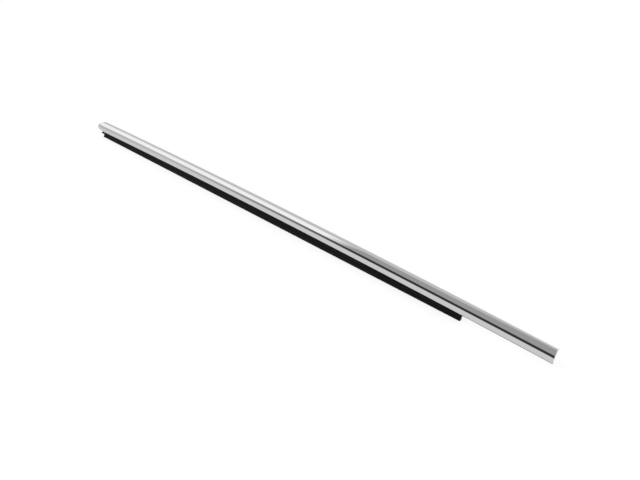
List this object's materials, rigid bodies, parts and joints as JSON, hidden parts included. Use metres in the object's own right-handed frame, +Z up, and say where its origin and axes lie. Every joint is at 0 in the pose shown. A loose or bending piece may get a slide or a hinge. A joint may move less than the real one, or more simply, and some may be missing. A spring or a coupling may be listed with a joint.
{
  "type": "door belt weatherstrip",
  "caption": "Outer door belt weatherstrip: a crowned bright metal moulding with two facets over a black rubber extrusion with a flange slot and glass wiper lips.",
  "frame": {"origin": "on the floor, under the middle of the whole strip's box", "axes": "+X along the strip from its curved tip to its square end, +Y from the bright face towards the window glass, +Z up as the loose strip rests"},
  "size_m": [0.9502, 0.0254, 0.0302],
  "materials": {
    "bright_metal": "bright polished strip, fine rolling lines along its length, a few faint handling marks",
    "black_rubber": "extruded matt black rubber with faint lines along its length, the wiper lips flocked"
  },
  "bodies": {
    "root": {"bright_moulding": "bright_metal", "rubber_weatherstrip": "black_rubber"}
  },
  "joints": []
}
